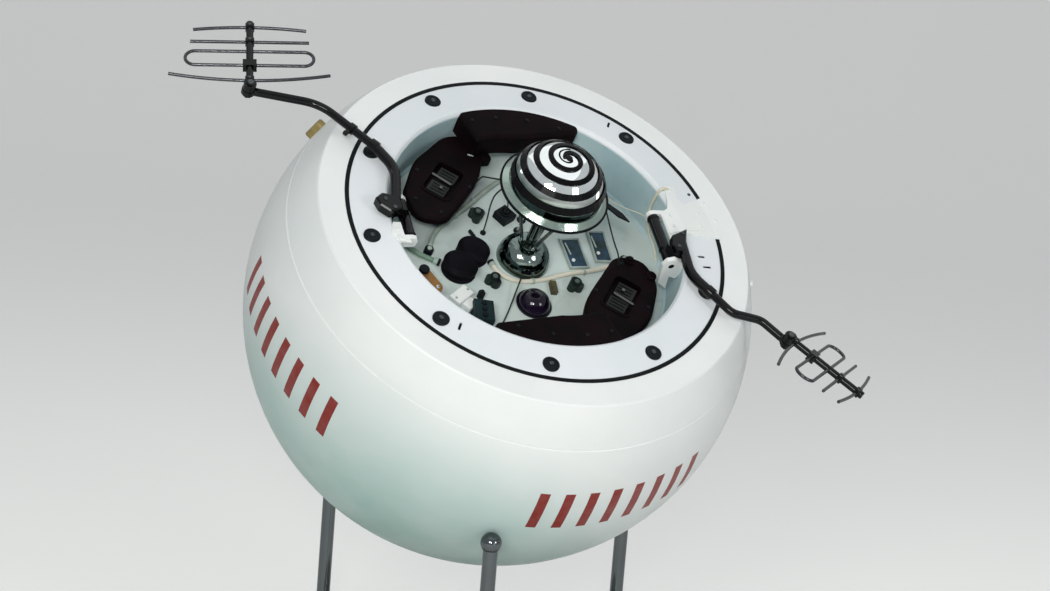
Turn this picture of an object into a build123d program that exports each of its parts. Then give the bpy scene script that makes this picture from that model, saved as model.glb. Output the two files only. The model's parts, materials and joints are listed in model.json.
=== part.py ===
from build123d import *
from math import cos, radians, sin, sqrt, tan
import os

os.makedirs("parts", exist_ok=True)

# Display stand, in millimetres, +Z up, origin at the middle of the base on the floor
ball_height = 800        # centre of the round hull above the floor
base_radius = 430
base_thickness = 30
post_circle = 356
post_radius = 14
post_ball_radius = 20
post_ball_height = ball_height - 378

# Hull: heights are along the capsule's own axis, from the hull's centre
hull_radius = 500
hull_wall = 32
container_radius = 400
container_flat = 140     # height of its flat top
seam_height = 180
seam_groove = 1.5
face_height = 262
seal_radius = 372
seal_width = 8
mouth_radius = 298.5
mouth_rise = 7.5
tub_radius = 292
tub_floor = 160
tub_wall = 4
bolt_circle = 342
bolt_pitch = 36          # degrees
bolt_count = 9           # the tenth place is under the right boom's bracket
bolt_radius = 16
bolt_first_angle = 42.2

# Black housings in the tub: a rail under the mouth and a lobe beside it
rail_inner = 220
rail_first_angle = 58
rail_last_angle = 109
rail_low = 222
rail_high = 267
rail_rounding = 11
lobe_low = 200
lobe_high = 221
lobe_rounding = 7
window_place = (-146, 142)
window_heading = 52
window_depth = 12

# Spiral antenna
lead_radius = 1.5
dome_base = 354
dome_rim_radius = 102
dome_profile = ((90.5, 366), (89.5, 380), (86, 394), (77, 408), (64, 422), (46, 434), (24, 441), (0, 443))
tape_turns = 4.5
tape_steps = 36          # sections in each turn
tape_width = (15.5, 8)   # at the foot and at the top
tape_thickness = 1.4
tape_gap = 1             # so that its straight facets clear the dome
globe_radius = 53
collar_radius = 24
stem_radius = 11

# Folding booms: heights and sizes that both sides share
hinge_z = 262
tube_z = 285
pin_radius = 5
sleeve_radius = 11
lug_gap = 0.6
lug_thickness = 9
plate_thickness = 2
root_tube_radius = 10
tube_radius = 8
block_low = 276
block_high = 295
eye_radius = 13
eye_thickness = 10
pivot_radius = 4
running_gap = 0.05

# Antenna heads
mast_length = 172
mast_radius = 7
mast_lift = 13           # mast above the boom's centre line
element_radius = 3.2
dipole_near = 55
dipole_far = 93
dipole_half = 120
elements = (
    # distance along the mast, half length, how far the tips lead the middle
    (14, 150, 16),
    (119, 112, 0),
    (160, 107, -8),
)

# Each side in its own half-turned frame, because the two hinges weren't fitted quite alike
hinges = {
    # side: turn, hinge x, where the sleeve starts and ends, where the link starts and ends
    "left": (0, -267, -40, 48, 8, 30),
    "right": (180, -247, -21, 94, 68, 92),
}
booms = {
    # side: root tube, its bend, outer tube, its bends
    "left": (((-286, 30), (-268, 112), (-298, 169)), 70, ((-298, 169), (-382, 272), (-516, 300)), 90),
    "right": (((-273, 60), (-266, 142), (-293, 186)), 70,
              ((-293, 186), (-322, 236), (-378, 254), (-414, 307)), 30),
}
heads = {
    # side: heading of the mast, how far its rods tip
    "left": (80, 12),
    "right": (127, 24),
}
root_blocks = {
    "left": ((-326, 31), (-311, 43), (-279, 37), (-278, 5), (-304, -3), (-321, 13)),
    "right": ((-255, 50), (-291, 34), (-280, 64), (-273, 89), (-251, 89), (-247, 76)),
}
foot_plates = {
    # outlines in plan: the plate on the flange, then a smaller one on top of it
    "left": (((-281, -9), (-296, -9), (-303, -38), (-291, -54), (-270, -58), (-272, -48), (-280, -39.8)),
             ((-283, -22), (-295, -20), (-299, -37), (-289, -50), (-277, -52), (-282, -39))),
    "right": (((-262, -25), (-281, -38), (-288, -60), (-292, -98), (-316, -98), (-311, -66), (-322, -52),
               (-346, -62), (-374, -76), (-392, -40), (-392, 8), (-376, 34), (-330, 30), (-300, 28),
               (-288, 44), (-262, 58)),
              ((-264, -27), (-282, -36), (-352, -38), (-358, -6), (-340, 18), (-300, 20), (-264, 30))),
}
lugs = {
    # outlines square to the hinge, measured from its axis: at the sleeve's start, then at its end
    "left": (((9, -12), (12, 2), (9, 9), (0, 11), (-31, 9.5), (-31, 2), (-15, -14)),
             ((11, -6), (11, 4), (4, 11), (-6, 10), (-14, 2), (-28, -6), (-28, -30), (-6, -22))),
    "right": (((9, -12), (12, 2), (9, 9), (0, 11), (-52, 10), (-52, 2), (-30, -6), (-15, -14)),
              ((16, -16), (19, 2), (13, 15), (-2, 19.5), (-13, 14), (-33, 8), (-33, -10), (-21, -35),
               (-6, -29), (-12, -64), (9, -49))),
}
link_outline = ((7, 7), (-1, 24), (-28, 26), (-28, 15), (-17, 10), (-8, -6))

# The capsule leans on its three posts: +Z of this plane is the capsule's own axis
lean = 42
lean_heading = -72
upright = Plane(
    origin=(0, 0, ball_height),
    x_dir=(cos(radians(lean_heading + 90)), sin(radians(lean_heading + 90)), 0),
    z_dir=(sin(radians(lean)) * cos(radians(lean_heading)),
           sin(radians(lean)) * sin(radians(lean_heading)), cos(radians(lean))),
)


def turned(base, x, y, z, heading=0):
    """Plane at a point of base that faces the same way, its x turned by heading degrees."""
    return Plane(
        origin=base.from_local_coords(Vector(x, y, z)),
        x_dir=base.x_dir * cos(radians(heading)) + base.y_dir * sin(radians(heading)),
        z_dir=base.z_dir,
    )


def across(base, x, y, z):
    """Plane square to the y direction of base: its x is the same and its y points down the axis."""
    return Plane(origin=base.from_local_coords(Vector(x, y, z)), x_dir=base.x_dir, z_dir=base.y_dir)


def tipped(base, angle):
    """base turned about its own x, so that its -y side rises."""
    return Plane(
        origin=base.origin,
        x_dir=base.x_dir,
        z_dir=base.z_dir * cos(radians(angle)) + base.y_dir * sin(radians(angle)),
    )


def polar(radius, heading):
    """Point at a radius and a heading in degrees."""
    return (radius * cos(radians(heading)), radius * sin(radians(heading)))


def axis_distance(point):
    """How far a point lies from the capsule's axis."""
    local = capsule.to_local_coords(point)
    return sqrt(local.X**2 + local.Y**2)


def pipe_path(base, points):
    """Corner radii for a gently bent pipe: as large as the runs beside each corner allow."""
    radii = []
    for before, corner, after in zip(points, points[1:], points[2:]):
        into = Vector(*corner) - Vector(*before)
        out = Vector(*after) - Vector(*corner)
        shorter = min(into.length, out.length)
        radii.append(0.45 * shorter / tan(radians(into.get_angle(out) / 2)))
    return FilletPolyline(*[base.from_local_coords(Vector(*point)) for point in points], radius=radii)


capsule = turned(upright, 0, 0, 0, 1.9)
capsule_axis = Axis(capsule.origin, capsule.z_dir)
# Plane through the axis for every turned piece: local x runs outward, local y along the axis
meridian = Plane(origin=capsule.origin, x_dir=capsule.x_dir, z_dir=-capsule.y_dir)

# Stand
with BuildPart() as base_plate:
    Cylinder(base_radius, base_thickness, align=(Align.CENTER, Align.CENTER, Align.MIN))
    chamfer(base_plate.faces().sort_by(Axis.Z)[-1].edges(), 4)
base_plate.part.label = "base_plate"
export_step(base_plate.part, "parts/base_plate.step")

for name, heading in (("post_front", -90), ("post_right", 30), ("post_left", 150)):
    foot = Plane(origin=(post_circle * cos(radians(heading)), post_circle * sin(radians(heading)), 0),
                 x_dir=(cos(radians(heading)), sin(radians(heading)), 0), z_dir=(0, 0, 1))
    section = Plane(origin=foot.origin, x_dir=foot.x_dir, z_dir=-foot.y_dir)
    with BuildPart() as post:
        with BuildSketch(section):
            with BuildLine():
                Polyline((0, base_thickness), (34, base_thickness), (34, base_thickness + 6),
                         (24, base_thickness + 12), (post_radius, base_thickness + 12),
                         (post_radius, post_ball_height - sqrt(post_ball_radius**2 - post_radius**2)))
                ThreePointArc((post_radius, post_ball_height - sqrt(post_ball_radius**2 - post_radius**2)),
                              (post_ball_radius, post_ball_height),
                              (0, post_ball_height + post_ball_radius))
                Line((0, post_ball_height + post_ball_radius), (0, base_thickness))
            make_face()
        revolve(axis=Axis(foot.origin, (0, 0, 1)), revolution_arc=360)
        with BuildSketch(meridian):
            with BuildLine():
                ThreePointArc((0, -hull_radius), (hull_radius, 0), (0, hull_radius))
                Line((0, hull_radius), (0, -hull_radius))
            make_face()
        revolve(axis=capsule_axis, revolution_arc=360, mode=Mode.SUBTRACT)
    post.part.label = name
    export_step(post.part, f"parts/{name}.step")

# Hull halves, with a groove where they meet
seam_radius = sqrt(hull_radius**2 - seam_height**2)
inner_radius = hull_radius - hull_wall
inner_seam = sqrt(inner_radius**2 - seam_height**2)
groove_low = seam_height - seam_groove
groove_high = seam_height + seam_groove
with BuildPart() as lower_hull:
    with BuildSketch(meridian):
        with BuildLine():
            ThreePointArc((0, -hull_radius), polar(hull_radius, -20),
                          (sqrt(hull_radius**2 - groove_low**2), groove_low))
            Polyline((sqrt(hull_radius**2 - groove_low**2), groove_low), (seam_radius - 2, seam_height),
                     (inner_seam, seam_height))
            ThreePointArc((inner_seam, seam_height), polar(inner_radius, -20), (0, -inner_radius))
            Line((0, -inner_radius), (0, -hull_radius))
        make_face()
    revolve(axis=capsule_axis, revolution_arc=360)
lower_hull.part.label = "lower_hull"
export_step(lower_hull.part, "parts/lower_hull.step")

edge_height = face_height - 3
face_edge = sqrt(hull_radius**2 - edge_height**2)
seal_inner = seal_radius - seal_width / 2
seal_outer = seal_radius + seal_width / 2
with BuildPart() as upper_hull:
    with BuildSketch(meridian):
        with BuildLine():
            Line((seam_radius - 2, seam_height), (sqrt(hull_radius**2 - groove_high**2), groove_high))
            ThreePointArc((sqrt(hull_radius**2 - groove_high**2), groove_high),
                          polar(hull_radius, 26.5), (face_edge, edge_height))
            Polyline((face_edge, edge_height), (face_edge - 3, face_height), (seal_outer, face_height),
                     (seal_outer, face_height - 6), (seal_inner, face_height - 6),
                     (seal_inner, face_height - 30), (inner_seam, seam_height),
                     (seam_radius - 2, seam_height))
        make_face()
    revolve(axis=capsule_axis, revolution_arc=360)
upper_hull.part.label = "upper_hull"
export_step(upper_hull.part, "parts/upper_hull.step")

# Small fittings on the outside of the hull
fitting_depth = 12
hull_fittings = (
    # name, azimuth, height, length, width, how far it stands out
    ("amber_sensor", 137.5, 164, 52, 22, 14),
    ("hull_knob", -15.3, 229, 14, 14, 5),
)
for name, azimuth, height, length, width, stand in hull_fittings:
    spot = turned(capsule, 0, 0, 0, azimuth)
    latitude = height / hull_radius
    outward = spot.x_dir * sqrt(1 - latitude**2) + spot.z_dir * latitude
    with BuildPart() as fitting:
        with BuildSketch(Plane(origin=capsule.origin + outward * (hull_radius - fitting_depth),
                               x_dir=spot.y_dir, z_dir=outward)):
            RectangleRounded(width, length, width / 2 - 0.5)
        extrude(amount=fitting_depth + stand)
        chamfer(fitting.faces().sort_by(Axis(capsule.origin, outward))[-1].edges(), 3)
        with BuildSketch(meridian):
            with BuildLine():
                ThreePointArc((0, -hull_radius), (hull_radius, 0), (0, hull_radius))
                Line((0, hull_radius), (0, -hull_radius))
            make_face()
        revolve(axis=capsule_axis, revolution_arc=360, mode=Mode.SUBTRACT)
    fitting.part.label = name
    export_step(fitting.part, f"parts/{name}.step")

with BuildPart() as face_seal:
    with BuildSketch(meridian):
        with BuildLine():
            Polyline((seal_inner, face_height - 6), (seal_outer, face_height - 6),
                     (seal_outer, face_height + 1), (seal_inner, face_height + 1), close=True)
        make_face()
    revolve(axis=capsule_axis, revolution_arc=360)
face_seal.part.label = "face_seal"
export_step(face_seal.part, "parts/face_seal.step")

# Hatch flange with its plugs
mouth_top = face_height + mouth_rise
flange_slope = mouth_rise / (seal_inner - mouth_radius)
plug_height = face_height + (seal_inner - bolt_circle) * flange_slope
with BuildPart() as flange_plugs:
    with BuildSketch(capsule.offset(plug_height - 4)):
        with PolarLocations(bolt_circle, bolt_count, bolt_first_angle, bolt_count * bolt_pitch):
            Circle(bolt_radius)
    extrude(amount=7)
    chamfer(flange_plugs.edges().group_by(capsule_axis)[-1], 1.2)
flange_plugs.part.label = "flange_plugs"
export_step(flange_plugs.part, "parts/flange_plugs.step")

face_slots = (
    # x, y, heading, length: small sunk slots in the flange
    (226, 267, 62, 18),
    (-222, -248, 62, 18),
    (317, -82, 0, 16),
    (321, -107, 0, 19),
)
with BuildPart() as hatch_flange:
    with BuildSketch(meridian):
        with BuildLine():
            Polyline((tub_radius + tub_wall, face_height - 14), (seal_inner, face_height - 14),
                     (seal_inner, face_height), (mouth_radius + 2, mouth_top),
                     (mouth_radius - 1.5, mouth_top - 1.5), (tub_radius + 1, face_height + 1),
                     (tub_radius + 1, face_height - 2), (tub_radius + tub_wall, face_height - 2),
                     close=True)
        make_face()
    revolve(axis=capsule_axis, revolution_arc=360)
    for x, y, heading, length in face_slots:
        with BuildSketch(turned(capsule, x, y, face_height - 1, heading)):
            SlotOverall(length, 5)
        extrude(amount=12, mode=Mode.SUBTRACT)
    add(flange_plugs.part, mode=Mode.SUBTRACT)
hatch_flange.part.label = "hatch_flange"
export_step(hatch_flange.part, "parts/hatch_flange.step")

# The tub: a rolled wall with a lip under the flange, and a flat floor set inside its foot
with BuildPart() as equipment_tub:
    with BuildSketch(meridian):
        with BuildLine():
            Polyline((tub_radius - 6, tub_floor), (tub_radius, tub_floor + 6),
                     (tub_radius, face_height - 2), (tub_radius + tub_wall, face_height - 2),
                     (tub_radius + tub_wall, tub_floor - tub_wall),
                     (tub_radius - 6, tub_floor - tub_wall), close=True)
        make_face()
    revolve(axis=capsule_axis, revolution_arc=360)
equipment_tub.part.label = "equipment_tub"
export_step(equipment_tub.part, "parts/equipment_tub.step")

with BuildPart() as tub_floor_panel:
    with BuildSketch(capsule.offset(tub_floor - tub_wall)):
        Circle(tub_radius - 6.2)
    extrude(amount=tub_wall)
tub_floor_panel.part.label = "tub_floor_panel"
export_step(tub_floor_panel.part, "parts/tub_floor_panel.step")

container_top = sqrt(container_radius**2 - container_flat**2)
with BuildPart() as instrument_container:
    with BuildSketch(meridian):
        with BuildLine():
            Polyline((0, -container_radius), (0, container_flat), (container_top, container_flat))
            ThreePointArc((container_top, container_flat), polar(container_radius, -20),
                          (0, -container_radius))
        make_face()
    revolve(axis=capsule_axis, revolution_arc=360)
instrument_container.part.label = "instrument_container"
export_step(instrument_container.part, "parts/instrument_container.step")

# Black housings, one a half turn from the other: a pear-shaped lobe and a rail along the wall
lobe_outline = (
    # corner x, corner y, its radius
    (-36, 262, 16),
    (-112, 268, 60),
    (-194, 196, 110),
    (-235, 112, 70),
    (-222, 50, 36),
    (-163, 40, 34),
    (-62, 156, 200),
)
for name, turn in (("upper", 0), ("lower", 180)):
    tub = turned(capsule, 0, 0, 0, turn)
    with BuildPart() as lobe:
        with BuildSketch(turned(tub, 0, 0, lobe_low)):
            with BuildLine():
                FilletPolyline(*[(x, y) for x, y, radius in lobe_outline],
                               radius=[radius for x, y, radius in lobe_outline], close=True)
            make_face()
        extrude(amount=lobe_high - lobe_low)
        fillet(lobe.edges().group_by(capsule_axis)[-1], lobe_rounding)
        chamfer(lobe.edges().group_by(capsule_axis)[0], lobe_rounding)
        with BuildSketch(turned(tub, 0, 0, tub_floor)):
            with Locations((-150, 146)):
                SlotOverall(104, 60, rotation=55)
        extrude(amount=lobe_low - tub_floor + 1)
        # Sunk window in the lobe's top
        with BuildSketch(turned(tub, *window_place, lobe_high - window_depth, window_heading)):
            RectangleRounded(88, 56, 12)
        extrude(amount=20, mode=Mode.SUBTRACT)
    lobe.part.label = f"housing_lobe_{name}"
    export_step(lobe.part, f"parts/housing_lobe_{name}.step")

    with BuildPart() as rail:
        with BuildSketch(turned(tub, 0, 0, rail_low)) as rail_sketch:
            with BuildLine():
                CenterArc((0, 0), tub_radius + 10, rail_first_angle, rail_last_angle - rail_first_angle)
                Line(polar(tub_radius + 10, rail_last_angle), polar(rail_inner, rail_last_angle))
                CenterArc((0, 0), rail_inner, rail_last_angle, 86 - rail_last_angle)
                Polyline(polar(rail_inner, 86), (146, 236), polar(tub_radius + 10, rail_first_angle))
            make_face()
            inner_corners = [v for v in rail_sketch.vertices() if sqrt(v.X**2 + v.Y**2) < tub_radius - 8]
            fillet([v for v in inner_corners if v.X < 0 or v.X > 100], 9)
        extrude(amount=rail_high - rail_low)
        top_edges = rail.edges().group_by(capsule_axis)[-1]
        fillet([edge for edge in top_edges if axis_distance(edge @ 0.5) < tub_radius], rail_rounding)
        with BuildSketch(meridian):
            with BuildLine():
                Polyline((tub_radius - 0.4, 0), (tub_radius - 0.4, face_height + 0.6),
                         (mouth_radius - 2.9, rail_high + 0.1), (mouth_radius - 2.9, rail_high + 30),
                         (2 * tub_radius, rail_high + 30), (2 * tub_radius, 0), close=True)
            make_face()
        revolve(axis=capsule_axis, revolution_arc=360, mode=Mode.SUBTRACT)
    rail.part.label = f"housing_rail_{name}"
    export_step(rail.part, f"parts/housing_rail_{name}.step")

    # Grey hardware in the window: two slotted blocks, a bright bar and a stud
    with BuildPart() as hardware:
        with BuildSketch(turned(tub, *window_place, lobe_high - window_depth, window_heading)):
            with Locations((21, 0), (-20, 2)):
                Rectangle(30, 38)
        extrude(amount=8)
        with BuildSketch(turned(tub, *window_place, lobe_high - 7, window_heading)):
            with Locations((-28, 0), (-20, 0), (-12, 0), (13, 0), (21, 0), (29, 0)):
                Rectangle(3, 30)
        extrude(amount=5, mode=Mode.SUBTRACT)
    hardware.part.label = f"window_hardware_{name}"
    export_step(hardware.part, f"parts/window_hardware_{name}.step")
    with BuildPart() as bar:
        with BuildSketch(turned(tub, -148, 148, lobe_high - 4, -43)):
            SlotOverall(44, 5)
            with Locations((10, -20)):
                Circle(3.5)
        extrude(amount=4)
    bar.part.label = f"window_bar_{name}"
    export_step(bar.part, f"parts/window_bar_{name}.step")

# Fittings on the tub floor
with BuildPart() as lobed_fittings:
    for x, y, heading in ((-71, 104, 20), (-78, -60, 50), (88, -72, 85)):
        with BuildSketch(turned(capsule, x, y, tub_floor, heading)):
            with PolarLocations(8, 3):
                Circle(8.5)
        extrude(amount=15)
        with BuildSketch(turned(capsule, x, y, tub_floor + 15, heading)):
            Circle(6)
        extrude(amount=5)
lobed_fittings.part.label = "lobed_fittings"
export_step(lobed_fittings.part, "parts/lobed_fittings.step")

floor_boxes = (
    # name, x, y, heading, length, width, height
    ("square_connector", -13, 103, 33, 32, 32, 18),
    ("corner_unit", -124, -146, 80, 48, 38, 28),
    ("white_block", -158, -106, 38, 44, 26, 24),
    ("brown_block", 42, -76, 85, 28, 12, 12),
)
for name, x, y, heading, length, width, height in floor_boxes:
    with BuildPart() as box:
        with BuildSketch(turned(capsule, x, y, tub_floor, heading)):
            Rectangle(length, width)
        extrude(amount=height)
        chamfer(box.edges().group_by(capsule_axis)[-1], 1.5)
    box.part.label = name
    export_step(box.part, f"parts/{name}.step")

with BuildPart() as twin_bellows:
    for x, y, radius in ((-104, 8, 32), (-140, -30, 34)):
        spot = turned(capsule, x, y, tub_floor)
        with BuildSketch(Plane(origin=spot.origin, x_dir=spot.x_dir, z_dir=-spot.y_dir)):
            with BuildLine():
                Polyline((0, 0), (radius, 0), (radius, 6), (radius - 4, 8), (radius - 4, 12), (radius, 14),
                         (radius, 20), (radius - 8, 27), (0, 30), close=True)
            make_face()
        revolve(axis=Axis(spot.origin, spot.z_dir), revolution_arc=360)
twin_bellows.part.label = "twin_bellows"
export_step(twin_bellows.part, "parts/twin_bellows.step")

for name, x, y, heading, length, width in (("inner", 112, 12, 2, 76, 42), ("outer", 172, 30, -2, 80, 38)):
    with BuildPart() as frame:
        with BuildSketch(turned(capsule, x, y, tub_floor, heading)):
            Rectangle(width, length)
            Rectangle(width - 8, length - 8, mode=Mode.SUBTRACT)
        extrude(amount=7)
        chamfer(frame.edges().group_by(capsule_axis)[-1], 1.5)
    frame.part.label = f"window_frame_{name}"
    export_step(frame.part, f"parts/window_frame_{name}.step")
    with BuildPart() as pane:
        with BuildSketch(turned(capsule, x, y, tub_floor, heading)):
            Rectangle(width - 8.2, length - 8.2)
        extrude(amount=4)
    pane.part.label = f"window_pane_{name}"
    export_step(pane.part, f"parts/window_pane_{name}.step")

sensor_radius = 32
with BuildPart() as sensor_dome:
    spot = turned(capsule, -8, -114, tub_floor)
    with BuildSketch(Plane(origin=spot.origin, x_dir=spot.x_dir, z_dir=-spot.y_dir)):
        with BuildLine():
            foot = sqrt(sensor_radius**2 - 3**2)
            Polyline((0, sensor_radius), (0, 0), (sensor_radius + 2, 0), (sensor_radius + 2, 3), (foot, 3))
            ThreePointArc((foot, 3), polar(sensor_radius, 48), (0, sensor_radius))
        make_face()
    revolve(axis=Axis(spot.origin, spot.z_dir), revolution_arc=360)
sensor_dome.part.label = "sensor_dome"
export_step(sensor_dome.part, "parts/sensor_dome.step")

valve_place = (-218, -82)
valve_heading = 24
with BuildPart() as amber_valve:
    with BuildSketch(turned(capsule, *valve_place, tub_floor + 8, valve_heading)):
        SlotOverall(60, 28, rotation=90)
    extrude(amount=30)
    chamfer(amber_valve.edges().group_by(capsule_axis)[-1], 4)
    with BuildSketch(turned(capsule, *valve_place, tub_floor)):
        Circle(9)
    extrude(amount=9)
amber_valve.part.label = "amber_valve"
export_step(amber_valve.part, "parts/amber_valve.step")

# Hoses that lie on the floor: name, radius and the points of the path
floor_hoses = (
    ("grey_hose", 5, ((4, 200), (-44, 164), (-90, 122), (-136, 90), (-171, 57), (-189, 18))),
    ("beige_hose", 4.5, ((-70, -14), (-60, -44), (-26, -62), (26, -57), (82, -40), (146, -32), (206, -10))),
    ("wall_hose", 5, ((-238, 94), (-241, 42), (-214, 6), (-178, -14))),
)
for name, radius, path in floor_hoses:
    with BuildPart() as hose:
        with BuildLine() as hose_line:
            pipe_path(turned(capsule, 0, 0, tub_floor + radius + 0.05), path)
        with BuildSketch(hose_line.line ^ 0):
            Circle(radius)
        sweep()
    hose.part.label = name
    export_step(hose.part, f"parts/{name}.step")

# Spiral antenna on the capsule's axis: globe, stem and struts, skirt, mirror dome, spiral tape
collar_low = tub_floor + sqrt(globe_radius**2 - collar_radius**2)
with BuildPart() as antenna_stem:
    with BuildSketch(meridian):
        with BuildLine():
            Line((0, tub_floor), (globe_radius, tub_floor))
            ThreePointArc((globe_radius, tub_floor),
                          (globe_radius * cos(radians(35)), tub_floor + globe_radius * sin(radians(35))),
                          (collar_radius, collar_low))
            Polyline((collar_radius, collar_low), (collar_radius, tub_floor + 52),
                     (stem_radius, tub_floor + 56), (stem_radius, dome_base - 24),
                     (34, dome_base - 5), (34, dome_base), (0, dome_base), (0, tub_floor))
        make_face()
    revolve(axis=capsule_axis, revolution_arc=360)
antenna_stem.part.label = "antenna_stem"
export_step(antenna_stem.part, "parts/antenna_stem.step")

with BuildPart() as antenna_struts:
    for heading in (30, 150, 270):
        spoke = turned(capsule, 0, 0, 0, heading)
        low = spoke.from_local_coords(Vector(19, 0, tub_floor + 53))
        high = spoke.from_local_coords(Vector(70, 0, dome_base - 3))
        with BuildSketch(Plane(origin=low, x_dir=spoke.y_dir, z_dir=(high - low).normalized())):
            Circle(3.5)
        extrude(amount=(high - low).length)
        with BuildSketch(turned(spoke, 70, 0, dome_base - 5)):
            Circle(8)
        extrude(amount=5)
    add(antenna_stem.part, mode=Mode.SUBTRACT)
antenna_struts.part.label = "antenna_struts"
export_step(antenna_struts.part, "parts/antenna_struts.step")

with BuildPart() as antenna_skirt:
    with BuildSketch(meridian):
        with BuildLine():
            Polyline((dome_rim_radius - 6, dome_base), (dome_rim_radius, dome_base),
                     (dome_rim_radius, dome_base + 3), (dome_profile[0][0] + 1, dome_profile[0][1]),
                     (dome_profile[0][0] - 3, dome_profile[0][1]), close=True)
        make_face()
    revolve(axis=capsule_axis, revolution_arc=360)
antenna_skirt.part.label = "antenna_skirt"
export_step(antenna_skirt.part, "parts/antenna_skirt.step")

with BuildPart() as antenna_rim:
    with BuildSketch(meridian):
        with Locations((dome_rim_radius + 1.8, dome_base + 1.5)):
            Rectangle(3.6, 3.6)
    revolve(axis=capsule_axis, revolution_arc=360)
antenna_rim.part.label = "antenna_rim"
export_step(antenna_rim.part, "parts/antenna_rim.step")

with BuildPart() as antenna_dome:
    with BuildSketch(meridian):
        with BuildLine():
            Polyline((0, dome_base), (dome_rim_radius - 6.4, dome_base),
                     (dome_profile[0][0] - 3.4, dome_profile[0][1]), dome_profile[0])
            Spline(*dome_profile, tangents=((-0.15, 1), (-1, 0)))
            Line(dome_profile[-1], (0, dome_base))
        make_face()
    revolve(axis=capsule_axis, revolution_arc=360)
antenna_dome.part.label = "antenna_dome"
export_step(antenna_dome.part, "parts/antenna_dome.step")

# The tape is lofted through square sections that follow the dome's own curve as it winds
dome_curve = Spline(*dome_profile, tangents=((-0.15, 1), (-1, 0)))
section_count = int(tape_turns * tape_steps)
with BuildPart() as antenna_tape:
    for step in range(section_count + 1):
        share = step / section_count
        place = dome_curve @ (0.05 + 0.9 * share)
        slope = dome_curve % (0.05 + 0.9 * share)
        spoke = turned(capsule, 0, 0, 0, 360 * step / tape_steps)
        along = spoke.x_dir * slope.X + spoke.z_dir * slope.Y
        outward = spoke.x_dir * slope.Y - spoke.z_dir * slope.X
        middle = spoke.from_local_coords(Vector(place.X, 0, place.Y))
        middle += outward * (tape_gap + tape_thickness / 2)
        with BuildSketch(Plane(origin=middle, x_dir=along, z_dir=spoke.y_dir)):
            Rectangle(tape_width[0] + (tape_width[1] - tape_width[0]) * share, tape_thickness)
    loft(ruled=True)
antenna_tape.part.label = "antenna_tape"
export_step(antenna_tape.part, "parts/antenna_tape.step")

with BuildPart() as feed_spike:
    with BuildSketch(turned(capsule, 94, -22, dome_base - 4, -51)):
        with BuildLine():
            Polyline((0, -5), (42, -7), (64, 0), (42, 6), (0, 4), close=True)
        make_face()
    extrude(amount=3.5)
feed_spike.part.label = "feed_spike"
export_step(feed_spike.part, "parts/feed_spike.step")

# Thin leads: each is a run of points in the capsule's own frame
leads = (
    ("lead_to_lower_lobe",
     ((95, -42, 351), (112, -50, 318), (134, -58, 278), (152, -64, 250), (162, -68, 223))),
    ("lead_to_upper_lobe",
     ((-97, 28, 351), (-94, 56, 324), (-88, 92, 288), (-81, 126, 254), (-77, 142, 222.5))),
    ("lead_to_floor",
     ((-102, 6, 351), (-99, 26, 312), (-88, 44, 264), (-74, 58, 214), (-66, 64, 161))),
    ("lead_along_floor",
     ((-20, -54, 176), (-34, -78, 175), (-50, -106, 168), (-70, -140, 164), (-92, -172, 162))),
)
for name, points in leads:
    with BuildPart() as lead:
        with BuildLine() as lead_line:
            pipe_path(capsule, points)
        with BuildSketch(lead_line.line ^ 0):
            Circle(lead_radius)
        sweep()
    lead.part.label = name
    export_step(lead.part, f"parts/{name}.step")

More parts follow.
